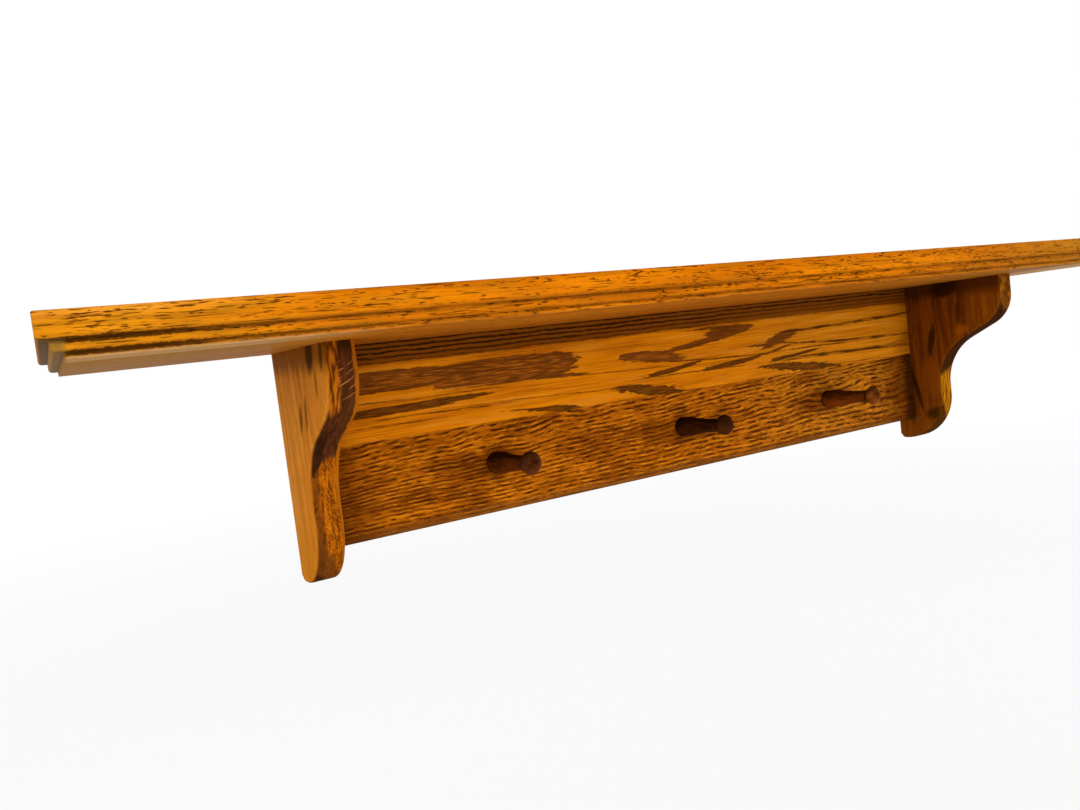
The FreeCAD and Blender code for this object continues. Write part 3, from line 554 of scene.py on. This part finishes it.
# Lines of even width, with their start, stop, half width and bow
lines = (
    ((-236, 24.6), (-62, 24.2), 0.55, 0.0),
    ((-284, 1.2), (-158, 0.0), 0.9, 0.0),
    ((-100, 0.8), (0, -2.4), 0.8, -0.2),
    ((-286, -10.8), (-150, -12.6), 0.9, 0.4),
    ((-286, -14.8), (-206, -15.8), 0.9, 0.0),
    ((-196, -10.6), (-58, -14.4), 0.7, 0.6),
    ((6, 25.0), (64, 23.2), 0.9, 0.6),
    ((-60, -9.4), (150, -13.2), 0.8, 0.6),
    ((-8, 1.6), (112, -3.4), 1.1, -0.8),
    ((104, -3.6), (138, 2.0), 1.3, -0.4),
    ((124, 13.4), (312, 17.8), 1.9, -1.2),
    ((124, 3.8), (312, -2.6), 1.5, -2.2),
    ((100, -3.0), (312, -4.4), 1.0, 0.3),
    ((126, -11.4), (312, -14.4), 2.3, 0.3),
    ((190, -22.6), (312, -25.4), 0.8, 0.4),
    ((-300, -24.7), (312, -25.3), 0.6, 0.3),
)
# The same, for painted glints: pale lines beside the darkest figure
glint_lines = (
    ((-302, 23.6), (-186, 23.2), 0.9, 0.0),
    ((-252, 4.2), (-168, 3.6), 0.9, 0.0),
    ((-240, -8.9), (-70, -10.4), 0.9, 0.4),
    ((-20, 20.5), (36, 22.4), 1.4, 0.0),
    ((140, 9.0), (290, 9.6), 1.6, 0.0),
)


def ring_lens(u, v, start, stop, half, bow=0.0, fat=0.5, full=0.6):
    # How deep a spot lies, in millimetres, in a growth ring cut at a slant: a long lens
    # between two points, thickest at its share fat. The less full is, the flatter are its
    # sides and the blunter its ends
    (u0, v0), (u1, v1) = start, stop
    share = (u - u0) / (u1 - u0)
    along = share.smaller(1.0).larger(0.0)
    centre = v0 + (v1 - v0) * along + 4 * bow * along * (1 - along)
    skewed = along if fat == 0.5 else along ** (math.log(0.5) / math.log(fat))
    swell = 4 * skewed * (1 - skewed)
    past_its_end = abs(share - along) * (u1 - u0)
    return half * swell ** full - abs(v - centre) - 0.05 * past_its_end


def deepest(u, v, lenses):
    # How deep a spot lies in whichever lens holds it best
    depth = ring_lens(u, v, *lenses[0])
    for lens in lenses[1:]:
        depth = depth.larger(ring_lens(u, v, *lens))
    return depth


def figured_half(x, y, z, u, v, fibre, silk, tone):
    # The upper half of the rail, from the shelf down: close dark lines on a brown that is painted shade
    # under the shelf, then the arches and their tails on gold. Gives its colour, and where the figure
    # is dark
    gold = tint(rise(tone, 0.3, 0.7), colour(226, 134, 5), colour(202, 112, 4))
    gold = tint(rise(x, 20, 160) * 0.6, gold, colour(208, 130, 20))
    gold = tint(rise(silk, 0.44, 0.72) * 0.5, gold, colour(150, 78, 4))
    gold = tint(rise(cloud(x / 75, y / 5, z / 0.8, 2), 0.58, 0.66) * 0.45, gold, colour(122, 62, 4))
    gold = tint(rise(cloud(x / 60, y / 20, z / 6, 2), 0.5, 0.66) * 0.35, gold, colour(224, 146, 40))
    # The close dark lines
    bent = 1.6 * (cloud(x / 50, y / 20, z / 14, 2) - 0.5) + 1.6 * (cloud(x / 21, y / 20, z / 8) - 0.5)
    course = v + bent
    bands = (course * (2 * math.pi / band_gap)).sine()
    bands = rise(bands + 0.9 * (fibre - 0.5) + 1.6 * (cloud(x / 90, y / 9, z / 2.4) - 0.5), -0.1, 0.75)
    bands = bands * (0.7 * rise(course, 25.8, 27.8) + 0.3 * rise(course, 30, 33))
    bands = bands * (1 - 0.45 * rise(x, 30, 110) * rise(z, 38, 34))
    # Painted shade: brown right under the shelf, behind the close lines
    shade = tint(rise(v + 2 * (fibre - 0.5), 24.8, 29.5) * 0.88, gold, colour(108, 54, 7))
    shade = tint(bands * 0.88, shade, colour(32, 13, 2))
    # The arches, which are flecked inside and darker at their rims
    depth = deepest(u, v, arches) + 2.2 * (fibre - 0.5)
    flecks = cloud(x / 13, y / 4, z / 0.75, 2)
    inner = rise(depth + 5 * (tone - 0.5), 0.6, 4.5) * rise(x, 60, 0)
    brown = tint(rise(flecks * 0.6 + silk * 0.4, 0.42, 0.58), colour(86, 42, 9), colour(142, 76, 18))
    brown = tint(inner * rise(flecks, 0.56, 0.68) * 0.7, brown, colour(186, 106, 26))
    brown = tint((1 - inner) * 0.5, brown, colour(80, 39, 7))
    shade = tint(rise(depth, 0.0, 0.8) * 0.92, shade, brown)
    # The tails and lines, which are darker still, and painted glints beside them
    depth = deepest(u, v, tails) + 1.8 * (fibre - 0.5)
    dark = rise(depth, 0.0, 0.8)
    broken = 0.45 + 0.55 * rise(cloud(x / 24, y / 5, z / 2, 2), 0.4, 0.55)
    for line in lines:
        dark = dark.larger(broken * rise(ring_lens(x, v, *line, fat=0.5, full=0.25), 0.0, 0.8))
    paler = rise(flecks, 0.42, 0.62) * (0.4 + 0.6 * rise(depth, 0.5, 2.5))
    shade = tint(dark * 0.9, shade, tint(paler, colour(46, 20, 3), colour(108, 58, 12)))
    for streak in glint_lines:
        shade = tint(rise(ring_lens(x, v, *streak), 0.0, 0.8) * 0.6, shade, colour(228, 148, 34))
    return shade, dark


def porous_half(x, y, z, ragged, fibre, tone):
    # The lower half of the rail: soft dark pores in long wavy rows, which climb a little to
    # the right and lie level at the foot. Gives its colour, and where the pores are
    swirl = 15 * (cloud(x / 85, y / 40, z / 65, 1) - 0.5) + 6 * (cloud(x / 27, y / 20, z / 24, 1) - 0.5)
    climb = rise(z, -92, -30)
    row = z - 0.06 * climb * x + swirl * (0.35 + 0.65 * climb) + 1.8 * ragged
    season = abs((row / row_gap).fraction() - 0.5)
    rows = rise(season + 0.6 * (fibre - 0.5), 0.34, 0.10)
    cores = rise(season + 0.6 * (fibre - 0.5), 0.17, 0.04)
    gaps = rise(cloud(x / 11, y / 5, row / 1.9, 2), 0.41, 0.55)
    small = rise(cloud(x / 7, y / 5, (row + z) / 1.7, 1), 0.56, 0.66)
    pores = (rows * gaps).larger(small * 0.75)
    lower = tint(rise(tone, 0.3, 0.7), colour(196, 108, 8), colour(168, 88, 4))
    lower = tint(rise(x, 20, 200) * 0.65, lower, colour(184, 116, 22))
    lower = tint(rise(cloud(x / 60, y / 20, z / 15, 2), 0.46, 0.64) * 0.7, lower, colour(116, 54, 3))
    lower = tint(rise(fibre, 0.44, 0.64) * 0.35, lower, colour(116, 57, 3))
    # Painted highlights on the crests between the rows
    painted_crest_highlights = rise(season, 0.32, 0.46) * rise(cloud(x / 15, y / 5, row / 2.1, 2), 0.46, 0.58)
    lower = tint(painted_crest_highlights * 0.75, lower, colour(224, 138, 22))
    lower = tint(pores * 0.8, lower, colour(74, 32, 2))
    lower = tint(cores * gaps * 0.8, lower, colour(42, 17, 1))
    # Painted shade: the rounded foot, which turns down, is darker
    foot = rise(z + 6 * (cloud(x / 30, y / 8, z / 3, 2) - 0.5), -82, -89)
    return tint(foot * 0.7, lower, colour(108, 62, 20)), pores


def corners_and_painted_peg_shade(shade, x, y, z, silk, upper_half):
    # Darker in the corners by the brackets, with painted shade round each peg and a painted shadow to
    # the left of each
    corner_wobble = cloud(x / 30, y / 30, z / 18) - 0.5
    darkened = rise(x + 50 * corner_wobble - 34 * upper_half, 240, 296) * 0.8
    darkened = darkened.larger(rise(x + 50 * corner_wobble + 20 * upper_half, -258, -300) * 0.6)
    for peg_x in (-peg_spacing, 0, peg_spacing):
        away = ((x - peg_x) * (x - peg_x) + (z - peg_row) * (z - peg_row)) ** 0.5
        darkened = darkened.larger(rise(away, 18, 8) * 0.6)
        peg_shadow = ((x - peg_x + 20) / 28) ** 2 + ((z - peg_row + 12 * corner_wobble) / 9) ** 2
        darkened = darkened.larger(rise(peg_shadow + 1.2 * (silk - 0.5), 1.4, 0.2) * 0.5)
    shade = tint(darkened, shade, colour(78, 31, 2))
    right_end = rise(x + 14 * corner_wobble, 286, 298) * (1 - upper_half)
    return tint(right_end * 0.8, shade, colour(46, 21, 3))


def rail_finish():
    finish, (x, y, z) = new_finish("golden_oak_rail")
    # Ragged fibres and a slow wander carry every line off its straight course
    wander = cloud(x / 34, y / 30, z / 10, 2) - 0.5
    ragged = cloud(x / 7, y / 5, z / 1.1, 2) - 0.5
    u = x + 30 * ragged
    v = z + 1.8 * wander + 1.6 * ragged
    fibre = cloud(x / 16, y / 3, z / 0.55, 2)
    silk = cloud(x / 45, y / 3, z / 1.3, 3)
    tone = cloud(x / 80, y / 30, z / 9, 2)
    upper, dark = figured_half(x, y, z, u, v, fibre, silk, tone)
    lower, pores = porous_half(x, y, z, ragged, fibre, tone)
    upper_half = rise(v, halves_meet - 0.4, halves_meet + 0.4)
    shade = corners_and_painted_peg_shade(tint(upper_half, lower, upper), x, y, z, silk, upper_half)
    relief = 0.6 - 0.4 * (1 - upper_half) * pores - 0.3 * upper_half * dark - 0.12 * silk
    return lacquer(finish, shade, relief, depth=0.4, roughness=0.46 + 0.12 * silk, gloss=0.01)


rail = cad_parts["peg_rail"]
rail.data.materials.clear()
rail.data.materials.append(rail_finish())

# Pegs. Three turned pegs of darker stained hardwood, each glued by a tenon into a blind bore
# that leans up a little, with its base let into a shallow seat. Above the straight base is a
# long waist, and then a mushroom head.
peg_base_radius, peg_base_length = 7.95, 12.0
peg_neck_reach, peg_neck_radius = 42.0, 5.3
peg_head_radius, peg_rim_radius, peg_dome_radius = 8.1, 3.6, 12.0
peg_length, tenon_radius, tenon_length = 57.15, 4.75, 14.0
peg_seat, peg_lean = 0.6, math.radians(2.5)
tenon_chamfer, base_chamfer = 0.8, 0.6
behind_head, head_front = 47.8, 51.0
waist_facets, head_rim_facets, dome_facets, round_facets = 12, 14, 10, 56


def turn_arc(spot, middle_reach, middle_radius, begin, end, steps):
    # Carries the chosen vertex along one curve of the turning, about a centre given by its
    # reach out of the rail and its radius, between two angles measured from the peg's axis
    axis_x, face_y, axis_z = spot
    bpy.ops.mesh.spin(steps=steps, angle=begin - end, axis=(0, 0, 1), center=(
        (axis_x + middle_radius) * mm, (face_y - middle_reach) * mm, axis_z * mm))


def peg_spot(node):
    # The middle of the back of a peg's base, on the floor of its seat. The peg leans about it
    low, high = (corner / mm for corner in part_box(node))
    rail_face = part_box("peg_rail")[0].y / mm
    return ((low.x + high.x) / 2, rail_face + peg_seat * math.cos(peg_lean),
            peg_row - peg_seat * math.sin(peg_lean))


def turn_peg(name, spot):
    axis_x, face_y, axis_z = spot
    peg = start_outline(name, axis_x, face_y + tenon_length, axis_z)
    # Half of the outline, from the middle of the tenon's end to the tip of the head
    push(tenon_radius - tenon_chamfer, 0, 0)
    push(tenon_chamfer, -tenon_chamfer, 0)
    push(0, tenon_chamfer - tenon_length, 0)
    push(peg_base_radius - tenon_radius - base_chamfer, 0, 0)
    push(base_chamfer, -base_chamfer, 0)
    push(0, base_chamfer - peg_base_length, 0)
    # The long hollow waist, whose centre lies level with the neck
    taper, drop = peg_neck_reach - peg_base_length, peg_base_radius - peg_neck_radius
    waist = (taper ** 2 + drop ** 2) / (2 * drop)
    turn_arc(spot, peg_neck_reach, peg_neck_radius + waist,
             math.atan2(drop - waist, -taper), -math.pi / 2, waist_facets)
    # The head: a round rim about a ring, and a low dome that runs in line into it
    ring = peg_head_radius - peg_rim_radius
    dome_reach = peg_length - peg_dome_radius
    dome_turn = math.asin(ring / (peg_dome_radius - peg_rim_radius))
    rim_reach = dome_reach + (peg_dome_radius - peg_rim_radius) * math.cos(dome_turn)
    back_turn = math.pi - math.asin((peg_neck_radius - ring) / peg_rim_radius)
    push(0, peg_neck_reach - rim_reach - peg_rim_radius * math.cos(back_turn), 0)
    turn_arc(spot, rim_reach, ring, back_turn, dome_turn, head_rim_facets)
    turn_arc(spot, dome_reach, 0, dome_turn, 0, dome_facets)
    # Turned all round, and then leant
    bpy.ops.mesh.select_all(action="SELECT")
    bpy.ops.mesh.spin(steps=round_facets, angle=2 * math.pi, axis=(0, 1, 0),
                      center=(axis_x * mm, 0, axis_z * mm))
    bpy.ops.mesh.select_all(action="SELECT")
    bpy.ops.mesh.remove_doubles(threshold=rounding * mm)
    bpy.ops.mesh.normals_make_consistent(inside=False)
    bpy.ops.transform.rotate(value=peg_lean, orient_axis="X", orient_type="GLOBAL",
                             center_override=[place * mm for place in spot])
    bpy.ops.object.mode_set(mode="OBJECT")
    bpy.ops.object.shade_smooth_by_angle(angle=smooth_angle)
    return peg


def peg_finish(name, spot, dark, light, head_rim_and_highlight):
    finish, (x, y, z) = new_finish(name)
    axis_x, face_y, axis_z = spot
    out = face_y - y
    up = z - axis_z - math.tan(peg_lean) * out
    grain = cloud(x / 1.4, y / 20, z / 1.4, 2)
    broad = cloud(x / 5, y / 30, z / 5, 2)
    # Lighter and darker by the grain, and with painted light: the lower side paler than the top
    painted_light_share = rise(grain * 0.4 + broad * 0.6 - 0.022 * up, 0.36, 0.68)
    shade = tint(painted_light_share, dark, light)
    # The head's end grain is paler at its rim, with a painted highlight on its far side and painted
    # shade on its top. The peg is darker behind the head, and painted shade lies in the corner at the
    # rail
    across = ((x - axis_x) * (x - axis_x) + up * up) ** 0.5
    head = rise(out, behind_head + 1.0, head_front)
    pores = rise(cloud(x / 0.5, y / 4, z / 0.5, 1), 0.60, 0.70)
    highlit_side = rise(x - axis_x, -6.0, 6.5)
    shade = tint(head * rise(across, 1.0, 7.0) * (0.2 + 0.7 * highlit_side), shade, head_rim_and_highlight)
    shade = tint(head * rise(up, 2.5, 7.0) * 0.7, shade, dark)
    shade = tint(rise(abs(out - behind_head), 2.4, 0.4) * 0.7, shade, colour(22, 8, 1))
    shade = tint(rise(out + 1.5 * (broad - 0.5), 3.0, 1.6) * 0.7, shade, colour(30, 11, 2))
    shade = tint(pores * 0.45, shade, colour(24, 10, 2))
    # The lathe leaves faint rings
    turned = (out * 5.2).sine() * 0.06
    height = 0.5 + turned - 0.35 * pores - 0.15 * grain
    return lacquer(finish, shade, height, depth=0.2, roughness=0.42 + 0.12 * grain, gloss=0.003)


left_peg = turn_peg("left_turned_peg", peg_spot("left_peg"))
centre_peg = copy_along(left_peg, "centre_turned_peg", peg_spacing)
right_peg = copy_along(left_peg, "right_turned_peg", 2 * peg_spacing)
for peg, node, dark, light, head_rim_and_highlight in (
    (left_peg, "left_peg", colour(40, 16, 4), colour(86, 40, 9), colour(96, 52, 30)),
    (centre_peg, "centre_peg", colour(32, 13, 4), colour(62, 28, 7), colour(70, 36, 16)),
    (right_peg, "right_peg", colour(60, 26, 4), colour(116, 54, 9), colour(134, 84, 34)),
):
    peg.data.materials.append(peg_finish(peg.name + "_stain", peg_spot(node), dark, light, head_rim_and_highlight))
    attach(peg, "root")
    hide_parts(node)

# Dowels. Plain beech pins, glued unseen in the joints: seven stand between the shelf and
# what carries it, and four lie between the rail and the brackets.


def dowel_finish(name, lengthways):
    finish, places = new_finish(name)

    def fibres(length, width, detail):
        # Noise that is drawn out along the dowel
        stretch = [length if axis == lengthways else width for axis in range(3)]
        return cloud(*[place / part for place, part in zip(places, stretch)], detail)

    grain = fibres(22, 1.2, 3)
    flecks = rise(fibres(2.5, 0.35, 1), 0.6, 0.68)
    shade = tint(rise(grain, 0.35, 0.65), colour(214, 176, 128), colour(190, 146, 98))
    shade = tint(flecks * 0.6, shade, colour(150, 104, 66))
    height = 0.5 - 0.3 * flecks - 0.2 * grain
    return lacquer(finish, shade, height, depth=0.12, roughness=0.62 + 0.1 * grain, gloss=0.12)


for node, lengthways in (("shelf_dowels", 2), ("rail_dowels", 0)):
    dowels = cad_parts[node]
    dowels.data.materials.clear()
    dowels.data.materials.append(dowel_finish("beech_" + node, lengthways))

# Hanger plates. Two pressed keyhole plates of zinc-plated steel, let in flush with the back
# of the rail. The screws that hold them are of the same metal.


def zinc_finish(name, size, roughness):
    finish, (x, y, z) = new_finish(name)
    place = x.node("CombineXYZ", {}, {0: x / size, 1: y / size, 2: z / size})
    crystals = x.node("TexVoronoi", {}, {"Vector": place, "Scale": 1}, "Color")
    spangle = x.node("SeparateXYZ", {}, {0: crystals})
    brushed = cloud(x / 0.25, y / 3, z / 9, 2)
    dull = cloud(x / 6, y / 6, z / 6, 3)
    shade = tint(spangle * 0.35 + dull * 0.3, colour(206, 208, 210), colour(168, 172, 178))
    shade = tint(rise(dull, 0.56, 0.72) * 0.5, shade, colour(146, 140, 128))
    height = brushed * 0.6 + spangle * 0.3
    bump = x.node("Bump", {}, {"Strength": 1.0, "Distance": 0.03 * mm, "Height": height})
    metal = x.node("BsdfPrincipled", {}, {
        "Base Color": shade, "Metallic": 1.0, "Roughness": roughness + 0.2 * dull, "Normal": bump,
    })
    x.node("OutputMaterial", {}, {"Surface": metal})
    return finish


for node, size, roughness in (
    ("left_hanger_plate", 4.0, 0.26), ("right_hanger_plate", 4.0, 0.26), ("hanger_screws", 1.5, 0.2),
):
    metal_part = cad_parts[node]
    metal_part.data.materials.clear()
    metal_part.data.materials.append(zinc_finish("zinc_" + node, size, roughness))

# Studio. A wide pale floor well below the shelf, as it hangs at its own height, large soft
# lamps in front and to both sides, and a white surround.
floor_level, floor_size, floor_shade = -0.42, 16, 0.86
# How much of the floor is plain white where it shows the shelf's shadow, and how much light
# the surround gives
plain_share, surround_light = 0.86, 0.62


def seen_rays(bare):
    # 1 for the rays that show a thing itself, straight or in metal or glass, and 0 for light
    kinds = bare.node("LightPath").socket.node.outputs
    camera, glossy, through = (Wire(bare.tree, kinds[f"Is {word} Ray"])
                               for word in ("Camera", "Glossy", "Transmission"))
    return (camera + glossy + through).smaller(1.0)


bpy.ops.object.select_all(action="DESELECT")
bpy.ops.mesh.primitive_plane_add(size=floor_size, location=(0, 0, floor_level))
floor = bpy.context.object
floor.name = "pale_floor"
bpy.ops.object.transform_apply(location=True, rotation=True, scale=True)
floor_finish = bpy.data.materials.new("pale_floor")
floor_finish.use_nodes = True
floor_finish.node_tree.nodes.clear()
bare = Wire(floor_finish.node_tree)
matt = bare.node("BsdfDiffuse", {}, {"Color": (floor_shade, floor_shade, floor_shade, 1)})
white = bare.node("Emission", {}, {"Color": (1, 1, 1, 1), "Strength": 1.0})
# Far off, the floor is seen as white as the surround, so that no line parts them
place = bare.node("TexCoord", output="Object")
away = bare.node("VectorMath", {"operation": "LENGTH"}, {0: place}, "Value")
blend = seen_rays(bare) * (plain_share + (1 - plain_share) * rise(away, 1.0, 3.0))
shown = bare.node("MixShader", {}, {0: blend, 1: matt, 2: white})
bare.node("OutputMaterial", {}, {"Surface": shown})
floor.data.materials.append(floor_finish)

surround = bpy.data.worlds.new("white_surround")
bpy.context.scene.world = surround
surround.use_nodes = True
surround.node_tree.nodes.clear()
bare = Wire(surround.node_tree)
strength = surround_light + (1 - surround_light) * seen_rays(bare)
sky = bare.node("Background", {}, {"Color": (1, 1, 1, 1), "Strength": strength})
bare.node("OutputWorld", {}, {"Surface": sky})

# Each lamp: its place, what it is aimed at, its size in metres and its power in watts
for name, place, aim, size, power in (
    ("front_lamp", (-1.1, -2.2, 0.45), (0, 0, 0), 1.6, 28),
    ("side_lamp", (-2.4, -0.5, 0.3), (-0.3, -0.1, 0), 1.2, 12),
    ("far_lamp", (1.7, -1.8, 0.4), (0.1, 0, 0), 1.4, 12),
):
    lamp = bpy.data.objects.new(name, bpy.data.lights.new(name, "AREA"))
    bpy.context.scene.collection.objects.link(lamp)
    lamp.data.size, lamp.data.energy = size, power
    lamp.location = place
    lamp.rotation_euler = (Vector(aim) - Vector(place)).to_track_quat("-Z", "Y").to_euler()

# Camera. It stands by the shelf's left end, just under it, a little tilted, and looks
# along the rail, as in the photograph.
camera = bpy.data.objects.new("camera", bpy.data.cameras.new("camera"))
bpy.context.scene.collection.objects.link(camera)
camera.data.sensor_width, camera.data.lens = 36, 28.293
camera.data.clip_start = 0.02
camera.location = (-0.45730, -0.57624, 0.02263)
camera.rotation_euler = [math.radians(angle) for angle in (86.393, 6.910, -30.480)]
bpy.context.scene.camera = camera
bpy.context.scene.view_settings.view_transform = "Standard"
